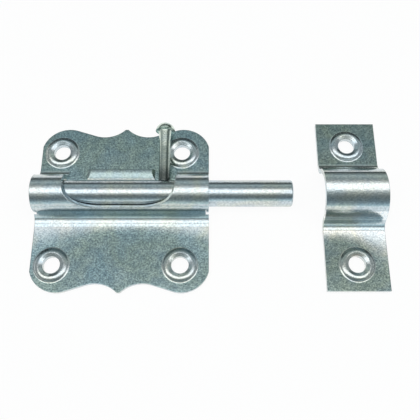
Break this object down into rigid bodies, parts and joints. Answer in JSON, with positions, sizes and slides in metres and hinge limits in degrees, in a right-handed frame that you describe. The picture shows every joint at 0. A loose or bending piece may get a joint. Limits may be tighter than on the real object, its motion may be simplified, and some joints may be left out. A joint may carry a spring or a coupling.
{
  "type": "slide bolt",
  "caption": "Small screw-on slide bolt: a round rod with a knob pin slides in a pressed guide plate and into a strap keeper.",
  "frame": {"origin": "centre of the guide plate's four screw holes, on the face that lies on the door", "axes": "+X along the rod towards the keeper, +Y in the door's plane towards the side that the knob lies on, +Z off the door"},
  "size_m": [0.1043, 0.0542, 0.0101],
  "materials": {
    "zinc_sheet": "bright zinc plating on pressed sheet steel",
    "zinc_rod": "bright zinc plating on round steel"
  },
  "bodies": {
    "plate_and_keeper": {"guide_plate": "zinc_sheet", "keeper": "zinc_sheet"},
    "rod": {"bolt_rod": "zinc_rod"},
    "knob": {"knob_pin": "zinc_rod"}
  },
  "joints": [
    {"name": "bolt_slide", "type": "slide", "parent": "plate_and_keeper", "child": "rod", "axis": [1, 0, 0], "range_m": [-0.02675, 0.00095]},
    {"name": "knob_turn", "type": "hinge", "parent": "rod", "child": "knob", "pos_m": [0.0136, 0.0032, 0.0042], "axis": [1, 0, 0], "range_deg": [-1, 88]}
  ]
}
